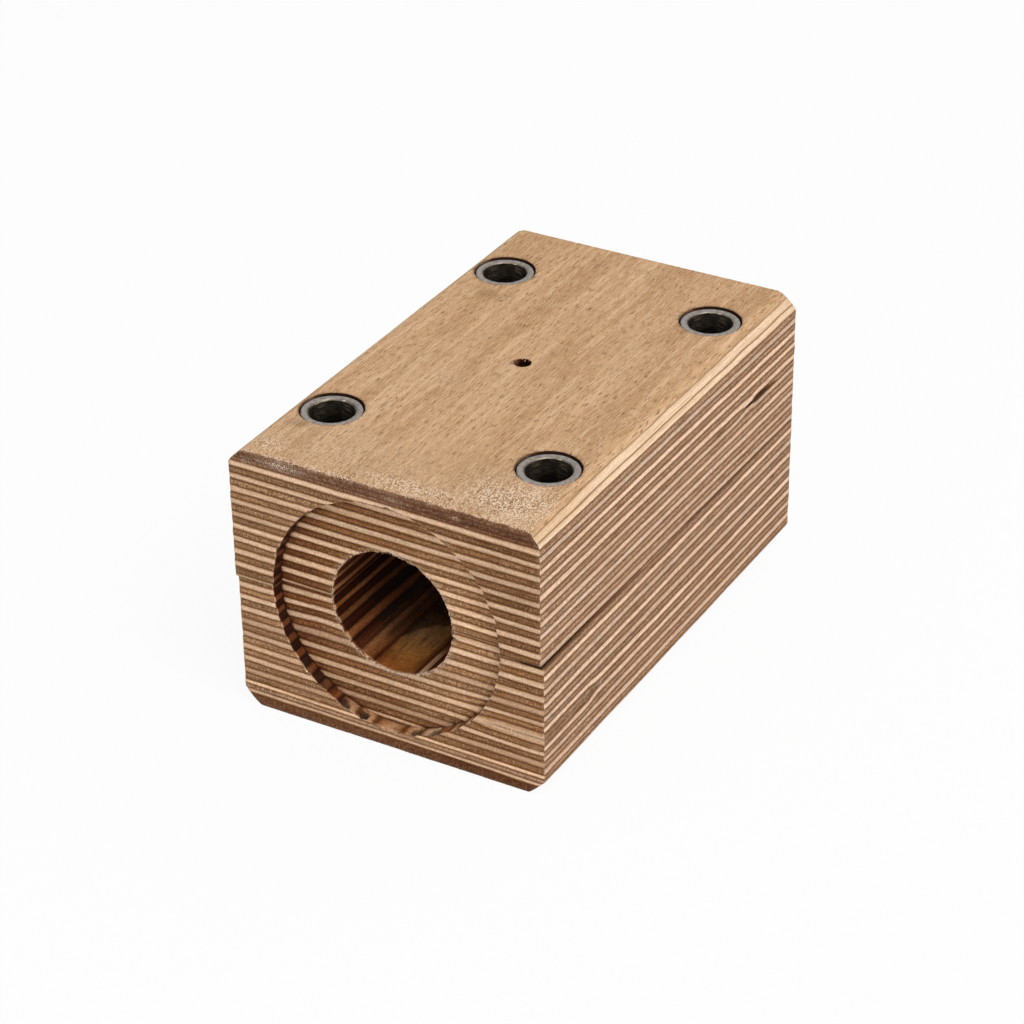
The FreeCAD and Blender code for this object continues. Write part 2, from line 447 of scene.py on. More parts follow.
class HalfBuilder:
    """Makes the visible surface of one half, patch by patch."""

    def __init__(self, half):
        self.half = half
        self.shell = Shell()
        self.y_rows = span(FRONT, REAR, LONG_STEP)
        self.recess_y = span(FRONT, FLOOR_LEVEL, RIM_STEP)
        mouth = FLOOR_LEVEL + BORE_MOUTH
        self.bore_y = np.concatenate([
            span(FLOOR_LEVEL, mouth, MOUTH_STEP)[:-1], span(mouth, REAR, BORE_STEP)])
        self.chamfer_rows = np.linspace(0.0, CHAMFER, CHAMFER_ROWS + 1)
        self.side_rows = self.rows_below_chamfer()
        self.outer_x = span(half.left + CHAMFER, half.right - CHAMFER, CUT_STEP)
        self.recess_arc = self.arc(RECESS_RADIUS)
        self.bore_arc = self.arc(BORE_RADIUS)

    def rows_below_chamfer(self):
        """Depths of the mesh rows on a side, closer together at the void."""
        if not self.half.is_upper:
            return span(CHAMFER, self.half.depth, ROW_STEP)
        above, below = VOID_LEVEL - 1.2, VOID_LEVEL + 2.0
        return np.concatenate([
            span(CHAMFER, above, ROW_STEP)[:-1], span(above, below, VOID_ROW_STEP)[:-1],
            span(below, self.half.depth, ROW_STEP)])

    def arc(self, radius):
        """Half circle about the shaft from the right of the parting plane to the left, x and depth."""
        turn = np.linspace(0.0, math.pi, round(math.pi * radius / RIM_STEP) + 1)
        return columns(radius * np.cos(turn), self.half.depth - radius * np.sin(turn))

    def oil_ring(self):
        """Points round the oil hole."""
        return ring((OIL_HOLE_X, OIL_HOLE_Y), OIL_HOLE_RADIUS, FINE_STEP)

    def end_face(self, y, hole, step, draw, every=1):
        """Points and triangles of an end face, round the half circle that is cut out of it."""
        half, sides, slant = self.half, self.side_rows, self.chamfer_rows
        radius = hole[0, 0]
        loop = join(
            columns(half.right, sides)[::-1],
            columns(chamfer_x(half.right, 1.0, slant), slant)[::-1],
            columns(self.outer_x, 0.0)[::-1],
            columns(chamfer_x(half.left, -1.0, slant), slant),
            columns(half.left, sides),
            columns(span(half.left, -radius, CUT_STEP), half.depth),
            hole[::-1],
            columns(span(radius, half.right, CUT_STEP), half.depth))
        rows = np.concatenate([slant[1:-1], sides])[::every]
        random = np.random.default_rng(half.seed + draw)
        flat, faces = fill([loop], scatter_rows((half.left, half.right), rows, step, random), 0.5 * RIM_STEP)
        return columns(flat[:, 0], y, flat[:, 1]), faces

    def cut_relief(self, points, draw):
        """How far a cut across the plies stands out: uneven plies, soft waves and roughness."""
        half = self.half
        ply = half.ply_at(points)
        share = ply - np.floor(ply)
        relief = half.steps[ply.astype(int)] + 0.05 * half.noise(points, (9, 9, 1.6), draw)
        relief += 0.035 * half.noise(points, (0.8, 0.8, 0.6), draw + 1)
        relief -= 0.05 * rise(np.minimum(share, 1.0 - share), 0.12, 0.0)
        return relief - PARTING_GROOVE * rise(half.depth - points[:, 2], 0.2, 0.0)

    def lap_seam(self, points):
        """Dark line between the two sheets of the lapped ply, from 0 to 1."""
        if self.half.is_upper:
            return np.zeros(len(points))
        middle = bump(self.half.ply_at(points), LAP_PLY + 0.5, 0.09)
        middle *= rise(points[:, 0], LAP_START_X + 8.0, LAP_START_X + 14.0)
        return 0.75 * middle * rise(points[:, 1], LAP_END_Y - 1.0, LAP_END_Y - 5.0)

    def rim_notch(self, points):
        """Notch in the bore's rim, from 0 to 1."""
        side, level = RIM_NOTCHES[self.half.node]
        return bump(self.half.height(points), level, 0.33) * (points[:, 0] * side > 0)

    def rim_chips(self, points, draw):
        """Torn spots along a rim, from 0 to 1, that change from ply to ply."""
        return np.clip(1.6 * self.half.noise(points, (1.3, 50.0, 0.9), draw) - 0.25, 0.0, 1.0)

    def edge_tear(self, points):
        """Torn stretches of the top's front edge, from 0 to 1."""
        return np.clip(self.half.noise(points * (1, 0, 0), (1.6, 9, 9), 23) + 0.25, 0.0, 1.0)

    def radius_of(self, points):
        """Distance from the shaft axis."""
        return np.hypot(points[:, 0], self.half.depth - points[:, 2])

    def end_edges(self, points):
        """Distance on an end face from its outer edges."""
        x, _, depth = points.T
        to_right, to_left = self.half.right - x, x - self.half.left
        slants = (depth + np.minimum(to_right, to_left) - CHAMFER) / math.sqrt(2)
        return np.minimum.reduce([to_right, to_left, depth, slants])

    def front(self):
        """The end face round the recess."""
        half = self.half
        points, faces = self.end_face(FRONT, self.recess_arc, CUT_STEP, 20)
        x, _, depth = points.T
        height = half.height(points)
        edge, rim = self.end_edges(points), self.radius_of(points) - RECESS_RADIUS
        chips = self.rim_chips(points, 22)
        fuzz = spots(x, height, FRONT_FUZZ)
        relief = self.cut_relief(points, 21) - EDGE_WEAR * fade(edge, EDGE_REACH)
        relief -= (0.06 + 0.45 * chips) * fade(rim, 0.45)
        relief += 0.1 * fuzz * half.noise(points, (0.7, 9, 0.7), 26)
        fresh = 0.5 * chips * fade(rim, 0.5) + 0.3 * fade(edge, 0.3)
        if half.is_upper:
            tear = self.edge_tear(points)
            relief -= 0.3 * tear * fade(depth, 0.7)
            fresh += 0.95 * tear * fade(depth, 0.55)
        self.shell.add(
            points, faces, relief[:, None] * (0.0, -1.0, 0.0),
            oil=0.07 * rise(x, 0.0, 24.0),
            fresh=np.clip(np.maximum(fresh, fuzz), 0, 1),
            grime=np.maximum(self.lap_seam(points), spots(x, height, FRONT_GRIME)),
            # The front made lighter by a share, most on the lower half.
            bare=FRONT_BRIGHTENING[half.node] * rise(x, *FRONT_BRIGHTENING_REACH[half.node]))

    def recess_wall(self):
        """The recess's round wall, oil-stained and pitted."""
        half = self.half
        arc_x, arc_depth = self.recess_arc.T[..., None]
        points, faces = grid(arc_x, self.recess_y, arc_depth)
        x, y, depth = points.T
        outward = columns(x, 0.0, depth - half.depth) / RECESS_RADIUS
        turn = np.degrees(np.arctan2(-half.inward * (half.depth - depth), x))
        from_front = y - FRONT
        chips = self.rim_chips(points, 22)
        sunk = (0.05 + 0.4 * chips) * fade(from_front, 0.5)
        sunk += 0.06 + 0.09 * half.noise(points, (0.9, 2.5, 0.9), 24)
        middle = bump(from_front, 1.1, 1.6)
        ragged = 0.3 * half.noise(points, (0.7, 0.7, 0.7), 27)
        # Darker along the foot of the wall: painted shade in its corner with the floor.
        grime = 0.6 * fade(FLOOR_LEVEL - y, 0.35)
        for angle, size in WALL_PITS.items():
            away = np.abs((turn - angle + 180.0) % 360.0 - 180.0)
            pit = rise(bump(away, 0.0, 3.0) * middle + ragged, 0.35, 0.65)
            sunk += 0.4 * size * pit
            grime = np.maximum(grime, size * pit)
        soaked = rise(np.cos(np.radians(turn)), -0.15, -0.75)
        oil = 0.55 + 0.47 * soaked + 0.14 * half.noise(points, (3, 3, 3), 25)
        stain = (0.04 + 0.52 * soaked) * rise(from_front, 0.0, 0.5)
        stain += 0.16 * half.noise(points, (0.8, 0.8, 0.8), 28)
        self.shell.add(
            points, faces, sunk[:, None] * outward,
            oil=np.clip(oil, 0, 1.2) * rise(from_front, 0.0, 0.6),
            fresh=0.5 * chips * fade(from_front, 0.4),
            grime=np.maximum(grime, stain))

    def recess_floor(self):
        """The recess's flat floor, darker towards its left and torn round the bore; painted shade darkens it
        beside its wall and painted light brightens it.
        """
        half = self.half
        loop = join(
            self.recess_arc, columns(span(-RECESS_RADIUS, -BORE_RADIUS, CUT_STEP), half.depth),
            self.bore_arc[::-1], columns(span(BORE_RADIUS, RECESS_RADIUS, CUT_STEP), half.depth))
        random = np.random.default_rng(half.seed + 30)
        loose = scatter_rows((-RECESS_RADIUS, RECESS_RADIUS), self.side_rows, CUT_STEP, random)
        flat, faces = fill([loop], loose, 0.5 * RIM_STEP)
        points = columns(flat[:, 0], FLOOR_LEVEL, flat[:, 1])
        x, radius = points[:, 0], self.radius_of(points)
        bore_rim, wall = radius - BORE_RADIUS, RECESS_RADIUS - radius
        chips = self.rim_chips(points, 31)
        notch = self.rim_notch(points) * fade(bore_rim, 0.8)
        relief = self.cut_relief(points, 32) - 0.9 * notch
        relief -= (0.08 + 0.4 * chips) * fade(bore_rim, 0.35)
        relief += 0.08 * rise(wall, 0.5, 0.0)
        # Darker towards the left; the oil and grime added beside the wall are painted shade.
        oil = 0.13 * rise(x, 13.0, -3.0) + 0.12 * rise(x, -14.0, -24.0)
        oil += 0.12 * rise(wall, 2.0, 0.0) + 0.07 * half.noise(points, (9, 9, 2.5), 33)
        self.shell.add(
            points, faces, relief[:, None] * (0.0, -1.0, 0.0),
            oil=np.clip(oil, 0, 1),
            fresh=np.clip(fade(bore_rim, 0.45) * (1.5 + 0.5 * chips), 0, 1),
            grime=np.maximum(0.4 * rise(wall, 0.7, 0.0), 0.95 * rise(notch, 0.15, 0.5)),
            # Painted light over the recess floor, strongest on the right where the recess wall's shadow
            # falls.
            bare=0.26 + 0.85 * rise(x, 4.0, 18.0))

    def bore(self):
        """The oil-soaked half bore, unrolled to be filled; the oil hole of the upper half opens in it."""
        half = self.half
        along = np.linspace(0.0, math.pi * BORE_RADIUS, len(self.bore_arc))
        length, shown = along[-1], FLOOR_LEVEL + BORE_SHOWN
        loops = [join(
            columns(along, FLOOR_LEVEL), columns(length, self.bore_y),
            columns(along, REAR)[::-1], columns(0.0, self.bore_y)[::-1])]
        if half.is_upper:
            hole_x, hole_y = self.oil_ring().T
            loops.append(columns(BORE_RADIUS * np.arccos(hole_x / BORE_RADIUS), hole_y))
        loose = np.vstack([
            scatter((0.0, length), (shown, REAR), BORE_STEP, half.seed + 40),
            scatter((0.0, length), (FLOOR_LEVEL, shown), RIM_STEP, half.seed + 43)])
        flat, faces = fill(loops, loose, 0.5 * RIM_STEP)
        turn = flat[:, 0] / BORE_RADIUS
        points = columns(BORE_RADIUS * np.cos(turn), flat[:, 1], half.depth - BORE_RADIUS * np.sin(turn))
        x, y, depth = points.T
        outward = columns(x, 0.0, depth - half.depth) / BORE_RADIUS
        from_front = y - FLOOR_LEVEL
        notch = self.rim_notch(points) * fade(from_front, 1.2)
        sunk = (0.06 + 0.35 * self.rim_chips(points, 31)) * fade(from_front, 0.45)
        sunk += 0.05 + 0.06 * half.noise(points, (0.9, 14.0, 0.9), 41) + 0.7 * notch
        sunk += PARTING_GROOVE * rise(half.depth - depth, 0.3, 0.0)
        self.shell.add(
            points, faces, sunk[:, None] * outward,
            oil=np.clip(self.bore_oil(points, from_front), 0, 1),
            fresh=np.clip(1.2 * fade(from_front, 0.3), 0, 1),
            grime=np.maximum(self.bore_stain(points, from_front), 0.8 * rise(notch, 0.2, 0.5)))

    def polished(self, points):
        """1 on the ply that forms the bore's bottom, otherwise 0."""
        return rise(self.half.ply_at(points), BORE_LOWEST_PLY + 1.05, BORE_LOWEST_PLY + 0.95)

    def bore_oil(self, points, from_front):
        """Oil in the bore, with less of it in the polished bottom, a pale band and two dry lines."""
        half, x = self.half, points[:, 0]
        soaked = 0.66 - 0.07 * np.clip(x / 8.0, -1, 1) if half.is_upper else 0.86
        oil = rise(from_front, -0.1, 0.9) * (soaked + 0.1 * half.noise(points, (5, 12, 5), 42))
        if half.is_upper:
            return oil
        oil *= 1.0 - self.polished(points) * (0.15 + 0.25 * rise(from_front, 2.0, 18.0))
        oil *= 1.0 - 0.3 * bump(half.height(points), PALE_BAND_LEVEL, 0.6) * (x < 0)
        above = half.ply_at(points) - BORE_LOWEST_PLY
        dry = bump(above, 1.3, 0.14) + 0.8 * bump(above, 1.68, 0.1)
        return oil * (1.0 - 0.75 * dry * (x > 0) * rise(from_front, 13.0, 7.0))

    def bore_stain(self, points, from_front):
        """Dark blots, streaks and haze in the bore, and what lies beyond its polished bottom."""
        half, x, height = self.half, points[:, 0], self.half.height(points)
        blot_share, haze_share = (0.736, 0.1) if half.is_upper else (0.92, 0.33)
        blot = half.noise(points, (3.2, 13.0, 1.5), 44) + 0.5 * half.noise(points, (0.9, 3.0, 0.9), 45)
        low = bump(height, BLOT_LEVEL, 3.2) * rise(from_front, 6.0, 16.0)
        blot = rise(0.5 * blot + 0.8 * low, 0.45, 0.6) * rise(height, 19.2, 20.6)
        blot *= 0.4 + 0.6 * (half.ply_at(points).astype(int) % 2)
        streak = rise(half.noise(points, (0.7, 9.0, 0.7), 46), 0.0, 0.6)
        haze = haze_share * rise(height, 20.6, 22.5)
        stain = np.maximum.reduce([blot_share * blot, 0.4 * streak, haze]) * rise(from_front, 0.2, 1.2)
        if half.is_upper:
            return stain
        polished = self.polished(points)
        stain += 0.3 * polished * rise(half.noise(points, (0.6, 4.5, 0.6), 48), 0.0, 0.5)
        ragged = 1.6 * half.noise(points, (1.6, 2.4, 1.6), 47)
        clean_end = POLISH_END - 2.0 * np.clip(-1.0 - x, 0.0, None) + ragged
        beyond = polished * rise(from_front - clean_end, -0.7, 1.0)
        beyond *= 0.82 + 0.15 * rise(from_front, 22.0, 26.0)
        seam = bump(height, SEAM_LEVEL, 0.55) * rise(from_front, 5.0, 12.0) * (x < 0)
        return np.maximum.reduce([stain, beyond, 0.85 * seam])

    def rear(self):
        """The plain end face, with the bore in it."""
        points, faces = self.end_face(REAR, self.bore_arc, OUTER_STEP, 50, every=2)
        edge, rim = self.end_edges(points), self.radius_of(points) - BORE_RADIUS
        chips = self.rim_chips(points, 52)
        relief = self.cut_relief(points, 51) - EDGE_WEAR * fade(edge, EDGE_REACH)
        relief -= (0.1 + 0.4 * chips) * fade(rim, 0.4)
        fresh = fade(rim, 0.35) * (0.4 + 0.4 * chips) + 0.3 * fade(edge, 0.3)
        self.shell.add(points, faces, relief[:, None] * (0.0, 1.0, 0.0), fresh=np.clip(fresh, 0, 1))

    def side(self, x_edge, outward):
        """A long side, from its chamfer to the parting."""
        half = self.half
        points, faces = grid(x_edge, self.y_rows[:, None], self.side_rows)
        _, y, depth = points.T
        ends = np.minimum(y - FRONT, REAR - y)
        relief = self.cut_relief(points, 60 + round(outward)) - EDGE_WEAR * fade(ends, EDGE_REACH)
        relief -= SLANT_WEAR / 2 * fade(depth - CHAMFER, SLANT_REACH)
        fresh = 0.3 * fade(ends, 0.4)
        grime = self.lap_seam(points)
        if outward > 0:
            height = half.height(points)
            fuzz = spots(y, height, RIGHT_FUZZ)
            relief += 0.12 * fuzz * half.noise(points, (9, 0.7, 0.7), 63)
            fresh = np.maximum(fresh, fuzz)
            grime = np.maximum(grime, spots(y, height, RIGHT_GRIME))
        if outward > 0 and half.is_upper:
            relief -= VOID_INSET * self.void(points, 0.56, 0.4)
            # The hollow is also painted dark over its floor and walls: painted shade inside it.
            grime = np.maximum(grime, self.void(points, 0.72, 0.58))
        self.shell.add(points, faces, relief[:, None] * (outward, 0.0, 0.0), fresh=fresh, grime=grime)

    def void(self, points, edge, full):
        """Hollow left by a ply missing for a stretch of the right side, from 0 to 1; shares of the ply
        from its middle say where the hollow ends and where it is full.
        """
        along, share = points[:, 1] - VOID_PINCH_Y, self.half.ply_at(points) - VOID_PLY
        wide = rise(along, 1.0, 4.0) * rise(along, 15.0, 8.0)
        return np.maximum(0.6 * wide, bump(along, 0.8, 2.6)) * rise(np.abs(share - 0.5), edge, full)

    def seat_bulge(self, x_edge, outward):
        """How far a chamfer's outer edge keeps out to go round the seats that reach it."""
        bulge = np.zeros(len(self.y_rows))
        for seat_x, seat_y in SEATS:
            reach = outward * (seat_x - chamfer_x(x_edge, outward, 0.0)) + SEAT_RADIUS + SEAT_EDGE
            if outward * seat_x > 0 and reach > 0:
                bulge += reach * bump(self.y_rows, seat_y, 3.0)
        return bulge

    def chamfer(self, x_edge, outward):
        """The slanted face between a side and the outer face."""
        half, rows = self.half, self.chamfer_rows
        bulge = outward * self.seat_bulge(x_edge, outward)[:, None] * (1.0 - rows / CHAMFER)
        points, faces = grid(chamfer_x(x_edge, outward, rows) + bulge, self.y_rows[:, None], rows)
        _, y, depth = points.T
        ends = np.minimum(y - FRONT, REAR - y)
        relief = 0.05 * half.noise(points, (5, 16, 5), 70) - EDGE_WEAR * fade(ends, EDGE_REACH)
        relief -= SLANT_WEAR * fade(depth, SLANT_REACH) + SLANT_WEAR / 2 * fade(CHAMFER - depth, SLANT_REACH)
        push = relief[:, None] * np.array((outward, 0.0, -1.0)) / math.sqrt(2)
        if half.is_upper and outward > 0:
            push[:, 0] += SLANT_FILL * rise(y, SLANT_FILL_END, FRONT) * (1.0 - depth / CHAMFER)
        self.shell.add(points, faces, push, fresh=0.25 * fade(ends, 0.4))

    def outer_face(self):
        """The top, or the base of the lower half, with its seats and the torn oil hole."""
        half = self.half
        low_x, high_x = self.outer_x[[0, -1]]
        right, left = high_x + self.seat_bulge(half.right, 1.0), low_x - self.seat_bulge(half.left, -1.0)
        loops = [join(
            columns(self.outer_x, FRONT), columns(right, self.y_rows),
            columns(self.outer_x, REAR)[::-1], columns(left, self.y_rows)[::-1])]
        loops += [ring(axis, SEAT_RADIUS, RIM_STEP) for axis in SEATS]
        step = OUTER_STEP if half.is_upper else BASE_STEP
        loose = [scatter((low_x, high_x), (FRONT, REAR), step, half.seed + 80)]
        if half.is_upper:
            loops.append(self.oil_ring())
            loose += [
                scatter((OIL_HOLE_X - 5, OIL_HOLE_X + 4), (OIL_HOLE_Y - 4, OIL_HOLE_Y + 4), FINE_STEP, 5),
                scatter((low_x, high_x), (FRONT, FRONT + FRONT_STRIP), RIM_STEP, 6),
                scatter((high_x - RIGHT_STRIP, high_x), (FRONT, REAR), RIM_STEP, 8)]
        flat, faces = fill(loops, np.vstack(loose), 0.5 * FINE_STEP)
        x, y = flat.T
        points = columns(x, y, 0.0)
        from_front = y - FRONT
        relief = 0.05 * half.noise(points, (6, 18, 5), 81) - 0.05
        relief += 0.02 * half.noise(points, (0.8, 1.8, 5), 82)
        relief -= EDGE_WEAR * fade(np.minimum(from_front, REAR - y), EDGE_REACH)
        if not half.is_upper:
            relief *= BASE_ROUGHNESS
        fresh, grime = np.zeros((2, len(points)))
        for axis in SEATS:
            rim = np.hypot(*(flat - axis).T) - SEAT_RADIUS
            relief -= 0.06 * fade(rim, 0.4)
            grime = np.maximum(grime, 0.2 * fade(rim, 0.35))
        if half.is_upper:
            tear, torn = self.edge_tear(points), self.oil_tear(points)
            relief -= 0.2 * tear * fade(from_front, 0.7) + TEAR_DEPTH * torn
            relief -= SLANT_WEAR * fade(np.minimum(high_x - x, x - low_x), SLANT_REACH)
            grime = np.maximum.reduce([grime, 0.95 * torn, spots(x, y, TOP_GRIME)])
            rim = np.hypot(x - OIL_HOLE_X, y - OIL_HOLE_Y) - OIL_HOLE_RADIUS
            lip = 0.25 + 0.6 * rise(y, OIL_HOLE_Y - 0.8, OIL_HOLE_Y - 1.6)
            lip *= fade(rim, 0.3) * (1.0 - torn)
            band = 1.1 * tear * fade(from_front, 0.9) + 0.35 * fade(from_front, 2.5)
            fresh = np.maximum.reduce([lip, band, spots(x, y, TOP_FUZZ)])
        self.shell.add(
            points, faces, relief[:, None] * (0.0, 0.0, -1.0), fresh=np.clip(fresh, 0, 1), grime=grime)

    def oil_tear(self, points):
        """Chip torn out of the top beside the oil hole, from 0 to 1."""
        away = np.hypot((points[:, 0] - TEAR_X) / 0.95, (points[:, 1] - TEAR_Y) / 1.05)
        return rise(away, 1.25, 0.7)

    def seat_walls(self):
        """The drilled seats of the sleeves."""
        rows = np.array([0.0, 0.4, 1.0, 2.2, 6.0, 16.0, self.half.depth])
        for axis in SEATS:
            circle_x, circle_y = ring(axis, SEAT_RADIUS, RIM_STEP).T[..., None]
            points, faces = grid(circle_x, circle_y, rows, wrap=(1, 0))
            depth = points[:, 2]
            outward = (points - (*axis, 0.0)) * (1.0, 1.0, 0.0) / SEAT_RADIUS
            sunk = 0.12 * fade(depth, 0.5) * np.clip(noise(points, (1, 1, 9), 7), 0, 1)
            # Oil-stained, and darker deeper down: painted shade in the gap round the sleeve.
            self.shell.add(points, faces, sunk[:, None] * outward, oil=np.full(len(points), 0.55),
                           grime=0.55 + 0.4 * rise(depth, 0.0, 0.8))

    def oil_wall(self):
        """The oil hole, from the top down to the bore."""
        circle_x, circle_y = self.oil_ring().T[..., None]
        end = self.half.depth - np.sqrt(BORE_RADIUS ** 2 - circle_x ** 2)
        points, faces = grid(circle_x, circle_y, end * (0.0, 0.02, 0.05, 0.1, 0.2, 0.45, 1.0), wrap=(1, 0))
        depth = points[:, 2]
        sunk = TEAR_DEPTH * self.oil_tear(points) * rise(depth, 1.7, 0.0)
        # Oil stain, with painted shade that darkens it deeper down the hole.
        self.shell.add(points, faces, sunk[:, None] * (0.0, 0.0, 1.0),
                       oil=0.75 + 0.25 * rise(depth, 0.3, 3.0), grime=0.25 + 0.35 * rise(depth, 0.2, 2.0))

    def parting(self, edge_x, sign):
        """One of the two flat strips where the halves meet, beside the bore."""
        half = self.half
        bore, recess = sign * BORE_RADIUS, sign * RECESS_RADIUS
        loops = [join(
            columns(span(recess, edge_x, CUT_STEP), FRONT),
            columns(edge_x, self.y_rows),
            columns(span(bore, edge_x, CUT_STEP)[::-1], REAR),
            columns(bore, self.bore_y[::-1]),
            columns(span(bore, recess, CUT_STEP), FLOOR_LEVEL),
            columns(recess, self.recess_y[::-1]))]
        loops += [ring(axis, SEAT_RADIUS, RIM_STEP) for axis in SEATS if axis[0] * sign > 0]
        loose = [scatter(sorted((bore, edge_x)), (FRONT, REAR), HIDDEN_STEP, half.seed + 90)]
        if sign > 0:
            loose += [
                scatter((edge_x - GAP_WIDTH, edge_x), (FRONT, FRONT + GAP_LENGTH), GAP_STEP, half.seed + 91),
                scatter((edge_x - LEDGE, edge_x), (FRONT, REAR), LEDGE_STEP, half.seed + 92)]
        flat, faces = fill(loops, np.vstack(loose), PARTING_CLEAR)
        x, y = flat.T
        # Painted shade darkens the strips where the halves meet, most in the open wedge; the uncovered ledge
        # on the right keeps little grime.
        sunk, grime = np.full(len(flat), 0.05), np.full(len(flat), 0.5)
        if sign > 0:
            gap = rise(y, FRONT + GAP_LENGTH, FRONT) * rise(x, edge_x - GAP_WIDTH, edge_x)
            sunk += GAP_HEIGHT[half.node] * gap
            covered = rise(x, UPPER.right + 0.4, UPPER.right + 0.05)
            grime = np.maximum(0.1 * (1.0 - covered), covered * np.maximum(0.2, rise(gap, 0.03, 0.35)))
        self.shell.add(columns(x, y, half.depth), faces, sunk[:, None] * (0.0, 0.0, -1.0), grime=grime)

    def build(self):
        """All patches of the half, as one closed mesh object."""
        half = self.half
        self.front()
        self.recess_wall()
        self.recess_floor()
        self.bore()
        self.rear()
        for x_edge, outward in ((half.right, 1.0), (half.left, -1.0)):
            self.side(x_edge, outward)
            self.chamfer(x_edge, outward)
            self.parting(x_edge, outward)
        self.outer_face()
        self.seat_walls()
        if half.is_upper:
            self.oil_wall()
        rest, pushed, triangles, marks = self.shell.weld()
        rearward = (rest[:, 1] - FRONT) / (REAR - FRONT)
        pushed[:, 0] += REAR_SKEW[half.node] * rearward * rise(rest[:, 0], half.right - 4.5, half.right - 0.5)
        values = dict(marks, ply=half.ply_at(rest) + (0 if half.is_upper else LOWER_PLY_OFFSET))
        pushed[:, 2] = half.height(pushed)
        return make_object(f"plywood_{half.node}", pushed, triangles, values)


SHARP_ANGLE = math.radians(48)


def make_object(name, points, faces, values=None, sharp=SHARP_ANGLE):
    """A mesh object from millimetre points, with one float attribute for each entry of values."""
    mesh = bpy.data.meshes.new(name)
    mesh.from_pydata((np.asarray(points) * MM).tolist(), [], [list(map(int, face)) for face in faces])
    for key, value in (values or {}).items():
        mesh.attributes.new(key, "FLOAT", "POINT").data.foreach_set("value", value.astype(np.float32))
    work = bmesh.new()
    work.from_mesh(mesh)
    if any(not edge.is_manifold for edge in work.edges):
        raise RuntimeError(f"{name} isn't closed")
    bmesh.ops.recalc_face_normals(work, faces=work.faces[:])
    work.to_mesh(mesh)
    work.free()
    mesh.shade_smooth()
    mesh.set_sharp_from_angle(angle=sharp)
    return link(name, mesh)


def link(name, data):
    """A new object of the scene."""
    made = bpy.data.objects.new(name, data)
    bpy.context.scene.collection.objects.link(made)
    return made


def dress(piece, node, material):
    """Puts a piece in a CAD node's place, with its material."""
    piece.data.materials.append(material)
    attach(piece, "root")
    if node:
        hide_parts(node)


def linear(red, green, blue):
    """A colour given as 8-bit sRGB, as the linear RGBA that sockets hold."""
    share = np.array([red, green, blue]) / 255.0
    value = np.where(share <= 0.04045, share / 12.92, ((share + 0.055) / 1.055) ** 2.4)
    return (*value, 1.0)


class Value:
    """Output of a node; to reckon with it adds nodes."""

    def __init__(self, nodes, socket):
        self.nodes = nodes
        self.socket = socket

    def __add__(self, other):
        return self.nodes.math("ADD", self, other)

    def __sub__(self, other):
        return self.nodes.math("SUBTRACT", self, other)

    def __rsub__(self, other):
        return self.nodes.math("SUBTRACT", other, self)

    def __mul__(self, other):
        return self.nodes.math("MULTIPLY", self, other)

    def __truediv__(self, other):
        return self.nodes.math("DIVIDE", self, other)

    def __pow__(self, other):
        return self.nodes.math("POWER", self, other)

    def __rpow__(self, other):
        return self.nodes.math("POWER", other, self)

    __radd__ = __add__


class Nodes:
    """Adds nodes to a tree; an input is a number, a colour or the value of another node."""

    def __init__(self, tree):
        self.tree = tree

    def feed(self, socket, value):
        if isinstance(value, Value):
            self.tree.links.new(value.socket, socket)
        else:
            socket.default_value = value

    def node(self, kind, inputs=(), output=0, **settings):
        made = self.tree.nodes.new(kind)
        for key, value in settings.items():
            setattr(made, key, value)
        for key, value in dict(inputs).items():
            self.feed(made.inputs[key], value)
        return Value(self, made.outputs[output])

    def math(self, operation, *values, clamp=False):
        return self.node("ShaderNodeMath", enumerate(values), operation=operation, use_clamp=clamp)

    def vector(self, operation, *values):
        return self.node("ShaderNodeVectorMath", enumerate(values), operation=operation)

    def compose(self, *parts):
        return self.node("ShaderNodeCombineXYZ", enumerate(parts))

    def parts(self, value, kind="ShaderNodeSeparateXYZ"):
        """The three parts of a vector or, with its kind of node, of a colour."""
        return [Value(self, socket) for socket in self.node(kind, {0: value}).socket.node.outputs]

    def step(self, value, start, end, low=0.0, high=1.0):
        """Smooth step from low at start to high at end."""
        return self.node("ShaderNodeMapRange", enumerate((value, start, end, low, high)),
                         interpolation_type="SMOOTHSTEP")

    def mix(self, share, first, second, blend="MIX"):
        return self.node("ShaderNodeMix", {0: share, 6: first, 7: second}, 2,
                         data_type="RGBA", blend_type=blend)

    def mix_vector(self, share, first, second):
        return self.node("ShaderNodeMix", {0: share, 4: first, 5: second}, 1, data_type="VECTOR")

    def tint(self, colour, light):
        """A colour times another, or times a share of light."""
        return self.mix(1.0, colour, light, "MULTIPLY")

    def coats(self, colour, *coats):
        """A colour under coats: the value each follows, where it starts and is full, its share and colour,
        and what limits it.
        """
        for value, start, end, share, coat, *limits in coats:
            cover = self.step(value, start, end, 0.0, share)
            for limit in limits:
                cover = cover * limit
            colour = self.mix(cover, colour, coat)
        return colour

    def noise(self, vector, scale, detail=2.0, rough=0.5):
        stretched = self.vector("MULTIPLY", vector, scale)
        return self.node("ShaderNodeTexNoise",
                         {"Vector": stretched, "Scale": 1.0, "Detail": detail, "Roughness": rough})

    def attribute(self, name):
        return self.node("ShaderNodeAttribute", (), 2, attribute_name=name)

    def light_path(self, ray):
        return self.node("ShaderNodeLightPath", (), ray)

    def millimetres(self):
        """The place on the object in millimetres."""
        place = self.node("ShaderNodeTexCoord", (), "Object")
        return self.vector("MULTIPLY", place, (1 / MM, 1 / MM, 1 / MM))


